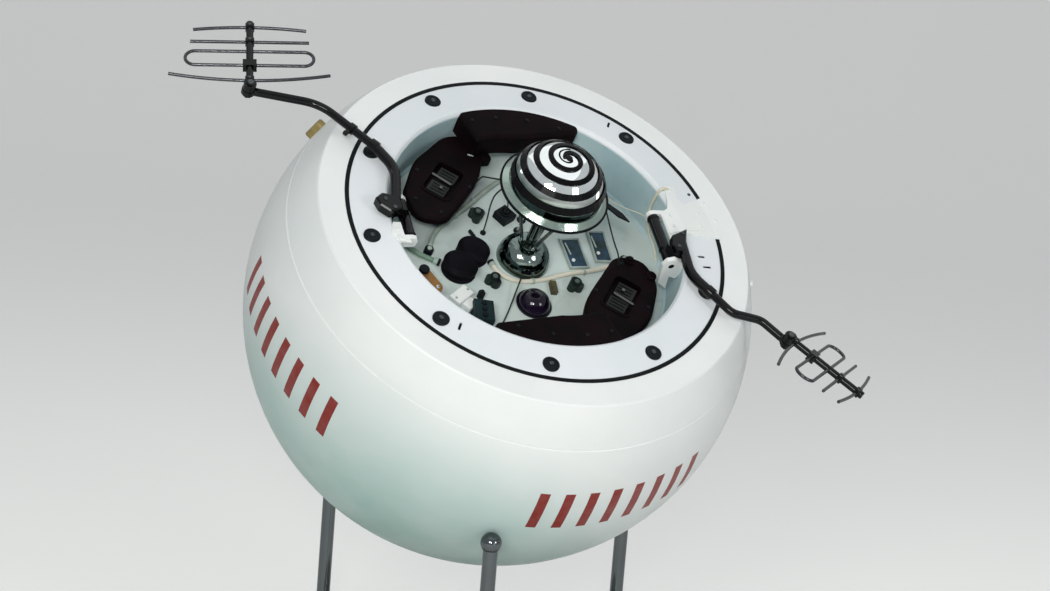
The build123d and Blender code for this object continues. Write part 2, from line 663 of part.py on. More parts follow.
for side, (turn, hinge_x, sleeve_start, sleeve_end, link_start, link_end) in hinges.items():
    hatch = turned(capsule, 0, 0, 0, turn)
    root_path, root_bend, path, bends = booms[side]
    mast_heading, element_tilt = heads[side]

    # Bracket: two thin plates on the flange, a lug at each end of the sleeve, the hinge pin between them
    with BuildPart() as bracket:
        for layer, outline in enumerate(foot_plates[side], 1):
            rise = layer * plate_thickness
            with BuildSketch(turned(hatch, 0, 0, face_height - 1)):
                with BuildLine():
                    Polyline(*outline, close=True)
                make_face()
            extrude(amount=20)
            with BuildSketch(meridian):
                with BuildLine():
                    Polyline((0, mouth_top + rise), (mouth_radius + 2, mouth_top + rise),
                             (seal_inner, face_height + rise), (hull_radius, face_height + rise),
                             (hull_radius, face_height + 30), (0, face_height + 30), close=True)
                make_face()
            revolve(axis=capsule_axis, revolution_arc=360, mode=Mode.SUBTRACT)
        with BuildSketch(capsule.offset(mouth_top - plate_thickness)):
            Circle(tub_radius + 0.8)
        extrude(amount=-20, mode=Mode.SUBTRACT)
        start_lug, end_lug = lugs[side]
        with BuildSketch(across(hatch, hinge_x, sleeve_start - lug_gap, hinge_z)):
            with BuildLine():
                Polyline(*[(x, -z) for x, z in start_lug], close=True)
            make_face()
        extrude(amount=-lug_thickness)
        with BuildSketch(across(hatch, hinge_x, sleeve_end + lug_gap, hinge_z)):
            with BuildLine():
                Polyline(*[(x, -z) for x, z in end_lug], close=True)
            make_face()
        extrude(amount=lug_thickness)
        with BuildSketch(across(hatch, hinge_x, sleeve_start - 2, hinge_z)):
            Circle(pin_radius)
        extrude(amount=sleeve_end - sleeve_start + 4)
        # The end lug's bore stays open in front of the pin
        with BuildSketch(across(hatch, hinge_x, sleeve_end + lug_gap + 2, hinge_z)):
            Circle(pin_radius + 1)
        extrude(amount=lug_thickness, mode=Mode.SUBTRACT)
        with BuildSketch(meridian):
            with BuildLine():
                Polyline((tub_radius, 0), (tub_radius, face_height - 2), (tub_radius + 5, face_height - 2),
                         (seal_radius, face_height - 8), (seal_radius, 0), close=True)
            make_face()
        revolve(axis=capsule_axis, revolution_arc=360, mode=Mode.SUBTRACT)
        for neighbour in (hatch_flange, equipment_tub, upper_hull, face_seal, flange_plugs):
            add(neighbour.part, mode=Mode.SUBTRACT)
    bracket.part.label = f"boom_bracket_{side}"
    export_step(bracket.part, f"parts/boom_bracket_{side}.step")

    # Boom: sleeve on the hinge pin, crank link, root block, bent tube and the eye at its end
    end = path[-1]
    with BuildPart() as boom:
        with BuildSketch(turned(hatch, 0, 0, block_low)):
            with BuildLine():
                Polyline(*root_blocks[side], close=True)
            make_face()
        extrude(amount=block_high - block_low)
        chamfer(boom.edges().group_by(capsule_axis)[-1], 2.5)
        with BuildSketch(across(hatch, hinge_x, sleeve_start, hinge_z)):
            Circle(sleeve_radius)
        extrude(amount=sleeve_end - sleeve_start)
        with BuildSketch(across(hatch, hinge_x, link_start, hinge_z)):
            with BuildLine():
                Polyline(*[(x, -z) for x, z in link_outline], close=True)
            make_face()
        extrude(amount=link_end - link_start)
        with BuildLine(turned(hatch, 0, 0, tube_z)) as root_line:
            FilletPolyline(*root_path, radius=root_bend)
        with BuildSketch(root_line.line ^ 0):
            Circle(root_tube_radius)
        sweep()
        with BuildLine(turned(hatch, 0, 0, tube_z)) as centre_line:
            FilletPolyline(*path, radius=bends)
        with BuildSketch(centre_line.line ^ 0):
            Circle(tube_radius)
        sweep()
        with BuildSketch(turned(hatch, *end, tube_z - eye_thickness / 2)):
            Circle(eye_radius)
        extrude(amount=eye_thickness)
        # The tube's end is flattened to the eye's thickness
        for low, high in ((eye_thickness / 2, 20), (-20, -eye_thickness / 2)):
            with BuildSketch(turned(hatch, *end, tube_z + low)):
                Circle(eye_radius + 4)
            extrude(amount=high - low, mode=Mode.SUBTRACT)
        with BuildSketch(turned(hatch, *end, tube_z - eye_thickness)):
            Circle(pivot_radius + running_gap)
        extrude(amount=2 * eye_thickness, mode=Mode.SUBTRACT)
        with BuildSketch(across(hatch, hinge_x, sleeve_start - 10, hinge_z)):
            Circle(pin_radius + running_gap)
        extrude(amount=sleeve_end - sleeve_start + 20, mode=Mode.SUBTRACT)
    boom.part.label = f"boom_{side}"
    export_step(boom.part, f"parts/boom_{side}.step")

    # Antenna head: mast on a pivot bolt, reflector and directors, folded dipole
    head = turned(hatch, *end, tube_z + mast_lift, mast_heading)
    element_plane = tipped(head, element_tilt)
    with BuildPart() as rods:
        for distance, half_length, lead in elements:
            with BuildLine(element_plane) as rod_line:
                if lead == 0:
                    Line((distance, -half_length), (distance, half_length))
                else:
                    ThreePointArc((distance + lead, -half_length), (distance, 0),
                                  (distance + lead, half_length))
            with BuildSketch(rod_line.line ^ 0):
                Circle(element_radius)
            sweep()
    rods.part.label = f"antenna_rods_{side}"
    export_step(rods.part, f"parts/antenna_rods_{side}.step")

    with BuildPart() as dipole:
        with BuildLine(element_plane) as loop_line:
            FilletPolyline((dipole_near, -9), (dipole_near, -dipole_half), (dipole_far, -dipole_half),
                           (dipole_far, dipole_half), (dipole_near, dipole_half), (dipole_near, 9),
                           radius=(dipole_far - dipole_near) / 2 - 0.5)
        with BuildSketch(loop_line.line ^ 0):
            Circle(element_radius)
        sweep()
    dipole.part.label = f"folded_dipole_{side}"
    export_step(dipole.part, f"parts/folded_dipole_{side}.step")

    with BuildPart() as mast:
        with BuildSketch(turned(hatch, *end, tube_z + eye_thickness / 2 + 0.5)):
            Circle(eye_radius - 1)
        extrude(amount=mast_lift + 1.5)
        with BuildSketch(turned(hatch, *end, tube_z - eye_thickness / 2 - 1)):
            Circle(pivot_radius)
        extrude(amount=12)
        with BuildSketch(turned(hatch, *end, tube_z - eye_thickness / 2 - 0.5)):
            RegularPolygon(9, 6)
        extrude(amount=-6)
        with BuildSketch(Plane(origin=head.origin, x_dir=head.y_dir, z_dir=head.x_dir)):
            Circle(mast_radius)
        extrude(amount=mast_length)
        with BuildSketch(element_plane.offset(-9)):
            with Locations((dipole_near, 0)):
                Rectangle(16, 26)
        extrude(amount=18)
        add(rods.part, mode=Mode.SUBTRACT)
        add(dipole.part, mode=Mode.SUBTRACT)
    mast.part.label = f"antenna_mast_{side}"
    export_step(mast.part, f"parts/antenna_mast_{side}.step")
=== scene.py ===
import json
from math import cos, hypot, pi, radians, sin

import bmesh
import bpy
from mathutils import Matrix, Vector


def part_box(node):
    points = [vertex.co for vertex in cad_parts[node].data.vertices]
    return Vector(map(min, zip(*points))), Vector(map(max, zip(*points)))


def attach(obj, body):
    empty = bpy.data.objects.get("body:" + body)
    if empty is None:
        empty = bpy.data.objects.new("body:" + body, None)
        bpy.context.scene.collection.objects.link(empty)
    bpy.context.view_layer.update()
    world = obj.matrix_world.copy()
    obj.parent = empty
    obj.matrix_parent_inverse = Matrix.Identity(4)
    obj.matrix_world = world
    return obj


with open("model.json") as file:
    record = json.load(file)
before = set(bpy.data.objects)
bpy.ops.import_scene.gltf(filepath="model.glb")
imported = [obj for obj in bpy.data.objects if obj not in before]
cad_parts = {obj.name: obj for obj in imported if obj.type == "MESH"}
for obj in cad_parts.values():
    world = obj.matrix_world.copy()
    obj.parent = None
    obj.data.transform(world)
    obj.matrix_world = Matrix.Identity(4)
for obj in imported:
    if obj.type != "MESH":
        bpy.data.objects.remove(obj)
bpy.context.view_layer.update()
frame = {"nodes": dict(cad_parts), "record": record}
nodes = frame["nodes"]
MM = 0.001

# The capsule's own frame: +Z is its axis, and it leans on its three posts
hull_low, hull_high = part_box("lower_hull")
hull_radius = round((hull_high.x - hull_low.x) / 2, 3)
hull_centre = Vector((0, 0, round(hull_low.z + hull_radius, 3)))
lean = radians(42)
lean_heading = radians(-72)
twist = radians(1.9)
capsule_z = Vector((sin(lean) * cos(lean_heading), sin(lean) * sin(lean_heading), cos(lean)))
level_x = Vector((-sin(lean_heading), cos(lean_heading), 0))
capsule_x = Matrix.Rotation(twist, 3, capsule_z) @ level_x
capsule = Matrix.Translation(hull_centre) @ Matrix(
    (capsule_x, capsule_z.cross(capsule_x), capsule_z)).transposed().to_4x4()

# Heights and radii in the capsule's frame, in millimetres
tub_floor = 160
lobe_low = 200
lobe_top = 221
rail_top = 267
rail_screw_circle = 272
face_height = 262
seal_inner = 368
flange_slope = 7.5 / 69.5      # how fast the flange falls away outwards from the mouth
bolt_circle = 342
plug_height = 3
plug_top = face_height + (seal_inner - bolt_circle) * flange_slope + plug_height
plug_angles = [42.2 + 36 * step for step in range(9)]
hinge_height = 262
hinge_x = {"left": -267, "right": -247}
boom_height = 285
mast_lift = 13
dome_top = 443
dome_fall = 0.0037             # the dome's crown falls by this much times the radius squared

# Small parts are sunk this far into what they stand on, so that no gap shows, and those that
# stand on the floor start at floor_foot
sink = 0.3
floor_foot = tub_floor - 0.5

# The posts' feet, in millimetres and degrees from the base plate's middle
post_circle = 356
post_headings = (-90, 30, 150)
foot_top = 42
foot_bolt_circle = 19

# The photograph's camera, fitted to the hull's outline and to the rings of its face
sensor_width = 36
camera_place = Vector((-0.2376, -3.9194, 1.3492))
camera_aim = Vector((0.0515, 0.0008, 0.8350))
camera_roll = radians(4.64)
camera_focal = 2002 / 1050 * sensor_width


def hex_colour(text):
    """sRGB hex to the linear RGBA that sockets take."""
    channels = [int(text[i:i + 2], 16) / 255 for i in (0, 2, 4)]
    return [c / 12.92 if c <= 0.04045 else ((c + 0.055) / 1.055) ** 2.4 for c in channels] + [1]


def add(tree, kind, inputs=None, **settings):
    """Adds a node with its settings; each input is a value or the socket that feeds it."""
    made = tree.nodes.new(kind)
    for name, value in settings.items():
        setattr(made, name, value)
    for name, value in (inputs or {}).items():
        if isinstance(value, bpy.types.NodeSocket):
            tree.links.new(value, made.inputs[name])
        else:
            made.inputs[name].default_value = value
    return made


def start(name, **sockets):
    """A material with a Principled shader: its tree, the shader and the Object coordinates."""
    material = bpy.data.materials.new(name)
    material.use_nodes = True
    tree = material.node_tree
    tree.nodes.clear()
    values = {key.replace("_", " "): value for key, value in sockets.items()}
    shader = add(tree, "ShaderNodeBsdfPrincipled", values)
    add(tree, "ShaderNodeOutputMaterial", {"Surface": shader.outputs[0]})
    place = add(tree, "ShaderNodeTexCoord").outputs["Object"]
    return material, tree, shader, place


def blend_colours(tree, share, first, second):
    """Mixes two colours by a socket or a number."""
    mix = add(tree, "ShaderNodeMix", data_type="RGBA")
    for socket, value in ((mix.inputs[0], share), (mix.inputs[6], first), (mix.inputs[7], second)):
        if isinstance(value, bpy.types.NodeSocket):
            tree.links.new(value, socket)
        else:
            socket.default_value = value
    return mix.outputs[2]


def calculate(tree, operation, *values, **settings):
    """Result of one maths node on sockets or numbers."""
    inputs = dict(enumerate(values))
    return add(tree, "ShaderNodeMath", inputs, operation=operation, **settings).outputs[0]


def ramp(tree, value, low, high, to_low=0.0, to_high=1.0):
    """Stretches a value so that low gives to_low and high gives to_high, and stops there."""
    inputs = {"Value": value, "From Min": low, "From Max": high,
              "To Min": to_low, "To Max": to_high}
    return add(tree, "ShaderNodeMapRange", inputs).outputs[0]


# Nearly all values of a noise lie between these
noise_floor = 0.3
noise_ceiling = 0.7


def noise(tree, place, size, detail=4, low=0.0, high=1.0, distortion=0.0):
    """Noise whose blotches are about size metres across, stretched to run from low to high."""
    made = add(tree, "ShaderNodeTexNoise",
               {"Vector": place, "Scale": 1 / size, "Detail": detail, "Distortion": distortion})
    return ramp(tree, made.outputs["Fac"], noise_floor, noise_ceiling, low, high)


def clouds(tree, place, size, first, second, detail=4, most=1.0):
    """Two hex colours in blotches about size metres across, with most as the second's share."""
    share = noise(tree, place, size, detail, high=most)
    return blend_colours(tree, share, hex_colour(first), hex_colour(second))


def coat(tree, shader, colour, roughness):
    """Feeds the shader's colour and roughness."""
    tree.links.new(colour, shader.inputs["Base Color"])
    tree.links.new(roughness, shader.inputs["Roughness"])


def bump(tree, shader, height, depth, strength=1.0):
    """Gives the shader a bump whose full height is depth metres."""
    made = add(tree, "ShaderNodeBump", {"Height": height, "Distance": depth, "Strength": strength})
    tree.links.new(made.outputs[0], shader.inputs["Normal"])


def split(tree, vector):
    """x, y and z of a vector."""
    return add(tree, "ShaderNodeSeparateXYZ", {0: vector}).outputs


def in_capsule(tree, place):
    """x, y and z in the capsule's own frame, in metres."""
    inputs = {"Vector": place, "Location": capsule.to_translation(), "Rotation": capsule.to_euler()}
    local = add(tree, "ShaderNodeMapping", inputs, vector_type="TEXTURE")
    return split(tree, local.outputs[0])


# Red marks: plain upright bars in four groups round the hull
mark_red = "801507"
mark_width = 20 * MM
mark_pitch = 50 * MM
mark_count = 8
mark_low = -15 * MM
mark_high = 83 * MM
mark_centre = radians(-77)


def mark_mask(tree, place):
    """1 on the painted bars, 0 elsewhere."""
    x, y, z = in_capsule(tree, place)
    from_centre = calculate(tree, "SUBTRACT", calculate(tree, "ARCTAN2", y, x), mark_centre)
    in_quarter = calculate(tree, "WRAP", from_centre, -pi / 4, pi / 4)
    along = calculate(tree, "MULTIPLY", in_quarter, hull_radius)
    in_pitch = calculate(tree, "WRAP", along, 0.0, mark_pitch)
    bar = calculate(tree, "COMPARE", in_pitch, mark_pitch / 2, mark_width / 2)
    group = calculate(tree, "COMPARE", along, 0.0, mark_pitch * mark_count / 2)
    band = calculate(tree, "COMPARE", z, (mark_low + mark_high) / 2, (mark_high - mark_low) / 2)
    return calculate(tree, "MULTIPLY", calculate(tree, "MULTIPLY", bar, group), band)


# Painted shade: the enamel turns green towards its foot, as painted shade and painted reflection of
# dark surroundings, from the start height down to the full height. Both are heights in metres above
# the floor in the middle, and lie higher to the left by the slant a metre.
painted_shade_green = "88B9AF"
painted_shade_start = 0.66
painted_shade_full = 0.32
painted_shade_slant = 0.45


def hull_enamel(name, light, shade, marked=False):
    """White enamel sprayed on metal: satin, faintly wavy, with a pale green painted shade at its
    foot.
    """
    material, tree, shader, place = start(name, IOR=1.5, Specular_IOR_Level=0.28)
    paint = clouds(tree, place, 0.25, light, shade, detail=5, most=0.8)
    world_place = split(tree, place)
    # Painted shade: pale green towards the foot, reaching higher on the left
    height = calculate(tree, "MULTIPLY_ADD", world_place["X"], painted_shade_slant, world_place["Z"])
    patches = noise(tree, place, 0.3, low=0.45)
    painted_shade = calculate(tree, "MULTIPLY", ramp(tree, height, painted_shade_start, painted_shade_full), patches)
    paint = blend_colours(tree, painted_shade, paint, hex_colour(painted_shade_green))
    if marked:
        wear = noise(tree, place, 0.02, low=1.0, high=0.95)
        worn = calculate(tree, "MULTIPLY", mark_mask(tree, place), wear)
        paint = blend_colours(tree, worn, paint, hex_colour(mark_red))
    coat(tree, shader, paint, noise(tree, place, 0.09, detail=3, low=0.34, high=0.5))
    bump(tree, shader, noise(tree, place, 0.012, detail=3), depth=0.0002, strength=0.35)
    return material


def tub_enamel(name, dark, light, stained):
    """Pale primer on the inside of the tub, dull, unevenly sprayed and a little stained."""
    material, tree, shader, place = start(name, Specular_IOR_Level=0.3)
    paint = clouds(tree, place, 0.11, dark, light, detail=5)
    stain = noise(tree, place, 0.03, detail=5, low=-1.2, high=0.5, distortion=0.8)
    stain = calculate(tree, "MULTIPLY", stain, 0.5, use_clamp=True)
    paint = blend_colours(tree, stain, paint, hex_colour(stained))
    coat(tree, shader, paint, noise(tree, place, 0.05, detail=3, low=0.45, high=0.62))
    bump(tree, shader, noise(tree, place, 0.004, detail=3), depth=0.0002, strength=0.4)
    return material


def moulded(name, dark, light, roughness, grain, depth, gloss=0.5):
    """Moulded plastic, rubber or lacquer: cloudy colour, and a grain of that size and depth."""
    material, tree, shader, place = start(name, Specular_IOR_Level=gloss)
    handled = noise(tree, place, 0.02, detail=3, low=roughness - 0.05, high=roughness + 0.05)
    coat(tree, shader, clouds(tree, place, 0.04, dark, light), handled)
    bump(tree, shader, noise(tree, place, grain, detail=2), depth, strength=0.5)
    return material


def metal(name, colour, roughness, smear, depth=0.0, dull=0.75):
    """Bare or plated metal: duller in blotches, smeared by handling, dented to that depth."""
    material, tree, shader, place = start(name, Metallic=1.0)
    clean = hex_colour(colour)
    dulled = [channel * dull for channel in clean[:3]] + [1]
    tint = blend_colours(tree, noise(tree, place, 0.05, high=0.4), clean, dulled)
    coat(tree, shader, tint, noise(tree, place, 0.03, low=roughness, high=roughness + smear))
    if depth:
        bump(tree, shader, noise(tree, place, 0.015, detail=3), depth, strength=0.6)
    return material


# Heights in metres between which the dome's painted dark reflection at its foot clears to silver
dark_reflection_full = 0.396
dark_reflection_end = 0.418


def dome_mirror(name):
    """Silvered dome, bright at its crown, with a dark painted reflection towards its foot."""
    material, tree, shader, place = start(name, Metallic=1.0)
    # Painted reflection: a dark green-grey band of reflected room towards the dome's foot
    dark_reflection = ramp(tree, in_capsule(tree, place)["Z"], dark_reflection_full, dark_reflection_end, 1.0, 0.0)
    silver = clouds(tree, place, 0.03, "F2F4F3", "D5DAD8", detail=3, most=0.5)
    reflected_dark = clouds(tree, place, 0.025, "4C5A51", "8B9A92", detail=3)
    colour = blend_colours(tree, dark_reflection, silver, reflected_dark)
    coat(tree, shader, colour, noise(tree, place, 0.02, low=0.02, high=0.06))
    return material


def window_glass(name):
    """Dark glass of an instrument window, clouded from green to blue."""
    material, tree, shader, place = start(name, Roughness=0.06, IOR=1.5, Specular_IOR_Level=0.15)
    colour = clouds(tree, place, 0.03, "12281F", "23465E", detail=2)
    tree.links.new(colour, shader.inputs["Base Color"])
    return material


# A moulded finish has its dark and light colour, roughness, size and depth of grain, and gloss.
# A metal has its colour, its least roughness, and how much the smears add to that.
materials = {
    # Sprayed grey lacquer: even, half dull
    "base_paint": moulded("base_lacquer", "C3C2BD", "C8C7C2", 0.42, 0.003, 0.0001),
    # Chrome plating: sharp reflections, and a dark smoky base colour that is painted reflection of
    # dark surroundings
    "stand_chrome": metal("post_chrome", "5F6466", 0.04, 0.06),
    # White enamel: soft sheen, a pale green painted shade at the foot, and the red marks
    "hull_paint": hull_enamel("hull_enamel", "E9ECEC", "DDE4E4", marked=True),
    # Cooler white enamel: sets the hatch face off from the hull
    "flange_paint": hull_enamel("flange_enamel", "E2E7EB", "D3DBDE"),
    # Brighter white on the thin bracket plates
    "bracket_paint": hull_enamel("bracket_enamel", "E9EDEC", "DCE2E0"),
    # Blue-grey primer on the tub's wall: dull, with faint stains; bluer and darker than on the
    # floor as painted shade
    "tub_paint": tub_enamel("tub_primer", "9FBCC3", "B8CCCF", "809EA6"),
    # Black rubber seal: no sheen
    "seal_rubber": moulded("seal_rubber", "080A0C", "121518", 0.6, 0.002, 0.0001, 0.1),
    # Blue-black moulded plugs and fittings: a low sheen on the rims
    "plug_plastic": moulded("plug_moulding", "0A0E11", "151B20", 0.5, 0.0015, 0.0001, 0.12),
    # Near-black crackle finish of the housings, with a hint of crimson
    "housing_plastic": moulded("housing_crackle", "060405", "12070A", 0.6, 0.003, 0.00015, 0.05),
    # Brushed steel of the sealed container: soft grey smears, though nothing outside shows it
    "container_steel": metal("container_steel", "8C8C8A", 0.35, 0.1),
    # Silvered dome: white at its crown, with a dark painted reflection at its foot
    "dome_chrome": dome_mirror("dome_mirror"),
    # Mirror of the globe and its stem, slightly rippled; its dark base colour and deep dark
    # blotches are painted reflection of dark surroundings
    "stem_steel": metal("globe_mirror", "7A8782", 0.05, 0.06, depth=0.0003, dull=0.25),
    # Satin steel rods: soft streaks of light along them
    "strut_steel": metal("strut_steel", "7D8484", 0.2, 0.1),
    # Green-grey plated skirt under the dome: broad soft reflections
    "skirt_resin": metal("skirt_plating", "A3B3A8", 0.12, 0.12, depth=0.0004, dull=0.5),
    # Black lacquered tape of the spiral: crisp against the silver
    "tape_paint": moulded("tape_lacquer", "030305", "08080C", 0.3, 0.003, 0.00005, 0.1),
    # Cast amber resin: brown with lighter clouds
    "amber_resin": moulded("amber_resin", "5E3C14", "A07330", 0.3, 0.003, 0.0001, 0.3),
    # Dark green anodised fittings: almost black in the shade
    "fitting_brass": moulded("fitting_anodised", "121B1B", "26352F", 0.45, 0.002, 0.0001, 0.15),
    # White moulded covers: the brightest spots of the compartment
    "white_plastic": moulded("white_moulding", "DDE3E0", "EEF1EF", 0.35, 0.002, 0.0001),
    # Black rubber bellows: quite dull
    "bellows_rubber": moulded("bellows_rubber", "06060A", "100D16", 0.6, 0.002, 0.0001, 0.06),
    # Polished violet-black dome of the sensor: one sharp glint
    "sensor_gloss": moulded("sensor_gloss", "0D0714", "1C1126", 0.12, 0.004, 0.00003, 0.35),
    # Grey-green rubber hose, bloomed with age
    "grey_rubber": moulded("grey_hose_rubber", "8A9B90", "A9B5AB", 0.5, 0.003, 0.0001, 0.3),
    # Cream woven sleeving, faded
    "beige_sleeve": moulded("beige_sleeve", "CBC8B6", "DCDACB", 0.6, 0.002, 0.0002, 0.3),
    # Dark enamel of the hardware in the housings' windows: half lost in the black
    "hardware_paint": moulded("hardware_enamel", "0B0D0C", "232726", 0.45, 0.002, 0.0001, 0.15),
    # Dark polished glass of the instrument windows, green to blue
    "window_glass": window_glass("window_glass"),
    # Gloss black lacquer on the booms: narrow bright glints
    "boom_paint": moulded("boom_lacquer", "030304", "08070A", 0.15, 0.006, 0.00006, 0.22),
    # Dark burnished steel rods: a thin line of light on each
    "antenna_steel": metal("antenna_steel", "4A4B4E", 0.16, 0.12),
}

# Thin black-green sleeving: dark lines across the pale floor
lead_sleeve = moulded("lead_sleeve", "161F19", "2C352B", 0.5, 0.002, 0.0001, 0.2)
# Nodes whose finish departs from that of their slot, by the start of their names
own_finish = {
    "lead_": lead_sleeve,
    # Ochre resin: yellower and duller than the amber one
    "amber_sensor": moulded("ochre_resin", "6A5A30", "A4935A", 0.35, 0.003, 0.0001, 0.3),
    # The masts are lacquered like the booms, and the feed's tip is a dark moulding
    "antenna_mast": materials["boom_paint"],
    "feed_spike": materials["plug_plastic"],
    # Brown pressed phenolic: olive brown and dull
    "brown_block": moulded("brown_phenolic", "37351F", "5C573B", 0.45, 0.002, 0.0001, 0.2),
    # Blue-green moulding: dark, but not black
    "corner_unit": moulded("corner_moulding", "0E1B1C", "1C3032", 0.5, 0.003, 0.0001, 0.15),
    # Primer on the floor: greener and lighter than on the wall, where the same primer is darkened
    # and blued as painted shade
    "tub_floor_panel": tub_enamel("floor_primer", "BECECC", "CBD7D2", "9AACA6"),
    # Dull steel bars: grey lines in the dark windows
    "window_bar": metal("bar_steel", "5E5F5D", 0.3, 0.15),
    # Sea-grey enamel: pale frames round the dark panes
    "window_frame": moulded("frame_enamel", "8C9E9A", "AEBBB6", 0.4, 0.002, 0.0001, 0.3),
    # Green rubber: the one coloured hose, against the wall
    "wall_hose": moulded("green_hose_rubber", "4F6F5C", "86A08E", 0.5, 0.003, 0.0001, 0.3),
}
slot_of = {row["node"]: row["material_slot"] for row in frame["record"]["subparts"]}
for name, node in nodes.items():
    finishes = [finish for beginning, finish in own_finish.items() if name.startswith(beginning)]
    node.data.materials.clear()
    node.data.materials.append(finishes[0] if finishes else materials[slot_of[name]])

# Grey steel screws: a soft spot of light on each head
dark_steel = metal("screw_steel", "55595A", 0.3, 0.15)
# Bright plated steel: the small sparkling pins and bolts
bright_steel = metal("bright_steel", "C9CCCB", 0.2, 0.15)
# Cream sleeving of the thin wires: warmer than the hose's
cream_sleeve = moulded("cream_sleeve", "C9C3AC", "E0DBC8", 0.55, 0.002, 0.0001, 0.3)
# Dim green moulding: caps that barely stand out from their fittings
dim_mark = moulded("dim_moulding", "3C4F48", "5E726A", 0.45, 0.002, 0.0001, 0.2)
# Pale green-grey moulding: ferrules and clips that catch the light, and the pale streaks on the
# panes that are painted highlights
pale_mark = moulded("pale_moulding", "8FA29B", "B4C2BB", 0.4, 0.002, 0.0001, 0.3)


# New pieces are shaped in millimetres, each on its own spot of the capsule
def shift(x, y, z):
    """A step along the axes of the place before it."""
    return Matrix.Translation((x, y, z))


def turn(degrees, axis):
    """A turn about an axis of the place before it."""
    return Matrix.Rotation(radians(degrees), 4, axis)


def spot(x, y, z, heading=0.0, side="left"):
    """Matrix of a place in the capsule's frame, a half turn on for the right side."""
    half_turn = turn(180 if side == "right" else 0, "Z")
    return capsule @ Matrix.Scale(MM, 4) @ half_turn @ shift(x, y, z) @ turn(heading, "Z")


def lying(x, y, z, heading, side="left"):
    """Place whose parts lie flat along a heading."""
    return spot(x, y, z, heading, side) @ turn(90, "Y")


def on_hinge(y, side):
    """Place on a boom's hinge, whose parts lie along its pin."""
    return spot(hinge_x[side], y, hinge_height, 0, side) @ turn(-90, "X")


def polar(radius, degrees):
    """x and y at a radius and a heading."""
    return radius * cos(radians(degrees)), radius * sin(radians(degrees))


def flange_height(x, y):
    """Height of the hatch face at a place: level outside, rising inwards from the seal."""
    return face_height + max(0, seal_inner - hypot(x, y)) * flange_slope


def stamp(form, part, place):
    """Puts a finished part into a piece's mesh."""
    bmesh.ops.recalc_face_normals(part, faces=part.faces)
    bmesh.ops.transform(part, matrix=place, verts=part.verts)
    mesh = bpy.data.meshes.new("stamp")
    part.to_mesh(mesh)
    part.free()
    form.from_mesh(mesh)
    bpy.data.meshes.remove(mesh)


def soften(part, edges, radius):
    """Rounds edges."""
    bmesh.ops.bevel(part, geom=edges, offset=radius, offset_type="OFFSET", segments=2, profile=0.5,
                    affect="EDGES", material=-1)


def move_new(part, made, step):
    """Moves the vertices of freshly extruded geometry."""
    verts = [item for item in made if isinstance(item, bmesh.types.BMVert)]
    bmesh.ops.translate(part, verts=verts, vec=step)


def cylinder(radius, height, sides):
    """Upright cylinder that stands at zero."""
    part = bmesh.new()
    bmesh.ops.create_cone(part, cap_ends=True, segments=sides, radius1=radius, radius2=radius,
                          depth=height)
    bmesh.ops.translate(part, verts=part.verts, vec=(0, 0, height / 2))
    return part


def top_edges(part, height):
    """The edges of a cylinder's top."""
    return [edge for edge in part.edges if all(v.co.z > height - 0.01 for v in edge.verts)]


def disc(form, place, radius, height, round_off=0.0, sides=20):
    """Round or many-sided boss that stands on its place, with its top edge rounded."""
    part = cylinder(radius, height, sides)
    if round_off:
        soften(part, top_edges(part, height), round_off)
    stamp(form, part, place)


def block(form, place, length, width, height, round_off=0.0):
    """Block that stands on its place."""
    part = bmesh.new()
    bmesh.ops.create_cube(part, size=1.0)
    bmesh.ops.scale(part, verts=part.verts, vec=(length, width, height))
    bmesh.ops.translate(part, verts=part.verts, vec=(0, 0, height / 2))
    if round_off:
        soften(part, part.edges[:], round_off)
    stamp(form, part, place)


def ring(form, place, radius, width, height, sides=28):
    """Flat ring that stands on its place, with a chamfered top; radius is to its middle."""
    part = bmesh.new()
    inner = radius - width / 2
    outer = radius + width / 2
    shoulder = height * 0.6
    corners = [(inner, 0), (outer, 0), (outer, shoulder), (radius + width * 0.3, height),
               (radius - width * 0.3, height), (inner, shoulder)]
    verts = [part.verts.new((r, 0, z)) for r, z in corners]
    edges = [part.edges.new((a, b)) for a, b in zip(verts, verts[1:] + verts[:1])]
    bmesh.ops.spin(part, geom=verts + edges, cent=(0, 0, 0), axis=(0, 0, 1), angle=2 * pi,
                   steps=sides, use_merge=True)
    stamp(form, part, place)


def frame_ring(form, place, length, width, corner, rim, height):
    """Rounded oblong frame that stands on its place."""
    part = bmesh.new()
    bmesh.ops.create_grid(part, x_segments=1, y_segments=1, size=0.5)
    bmesh.ops.scale(part, verts=part.verts, vec=(length, width, 1))
    bmesh.ops.bevel(part, geom=part.verts[:], offset=corner, offset_type="OFFSET", segments=5,
                    profile=0.5, affect="VERTICES", material=-1)
    inner = part.faces[:]
    rim_faces = bmesh.ops.inset_region(part, faces=inner, thickness=rim, use_boundary=True,
                                       use_even_offset=True)["faces"]
    bmesh.ops.delete(part, geom=inner, context="FACES")
    raised = bmesh.ops.extrude_face_region(part, geom=rim_faces)["geom"]
    move_new(part, raised, (0, 0, height))
    stamp(form, part, place)


def screw(form, place, radius, height):
    """Slotted round-head screw: a low domed head with a slot sunk across it."""
    part = cylinder(radius, height, 16)
    soften(part, top_edges(part, height), radius * 0.3)
    half_slot = radius * 0.14
    for cut in (-half_slot, half_slot):
        bmesh.ops.bisect_plane(part, geom=part.verts[:] + part.edges[:] + part.faces[:],
                               plane_co=(0, cut, 0), plane_no=(0, 1, 0))
    slot = [face for face in part.faces
            if face.normal.z > 0.9 and abs(face.calc_center_median().y) < half_slot]
    sunk = bmesh.ops.extrude_face_region(part, geom=slot)["geom"]
    move_new(part, sunk, (0, 0, -height * 0.6))
    bmesh.ops.delete(part, geom=slot, context="FACES")
    stamp(form, part, place)


# Vertices nearer to each other than this many metres are one
weld = 0.00001


